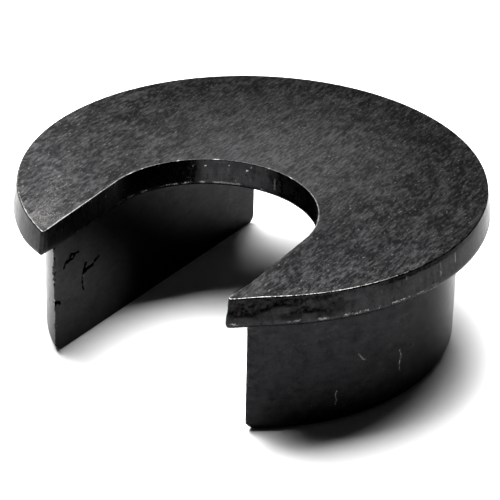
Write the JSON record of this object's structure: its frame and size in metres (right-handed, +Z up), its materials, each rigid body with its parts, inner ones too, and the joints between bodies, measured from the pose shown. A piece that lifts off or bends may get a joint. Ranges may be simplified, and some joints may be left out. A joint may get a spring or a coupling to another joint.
{
  "type": "slotted flanged shaft collar",
  "caption": "C-shaped flanged collar: thick round flange with an open U slot over two D-shaped legs, slipped onto a shaft from the side.",
  "frame": {"origin": "where the axis shared by the flange and the hub meets the underside of the flange plate", "axes": "+Z up along the flange axis out of the flat top of the plate, legs point down -Z, the slot opens towards -Y"},
  "size_m": [0.0778, 0.0733, 0.027],
  "materials": {
    "plate_steel": "black oxide over a punched and surface-ground plate, worn bright on its sharp edges",
    "leg_steel": "black oxide over turned and sawn bar, nicked on its flat faces"
  },
  "bodies": {
    "root": {"flange_plate": "plate_steel", "left_leg": "leg_steel", "right_leg": "leg_steel"}
  },
  "joints": []
}
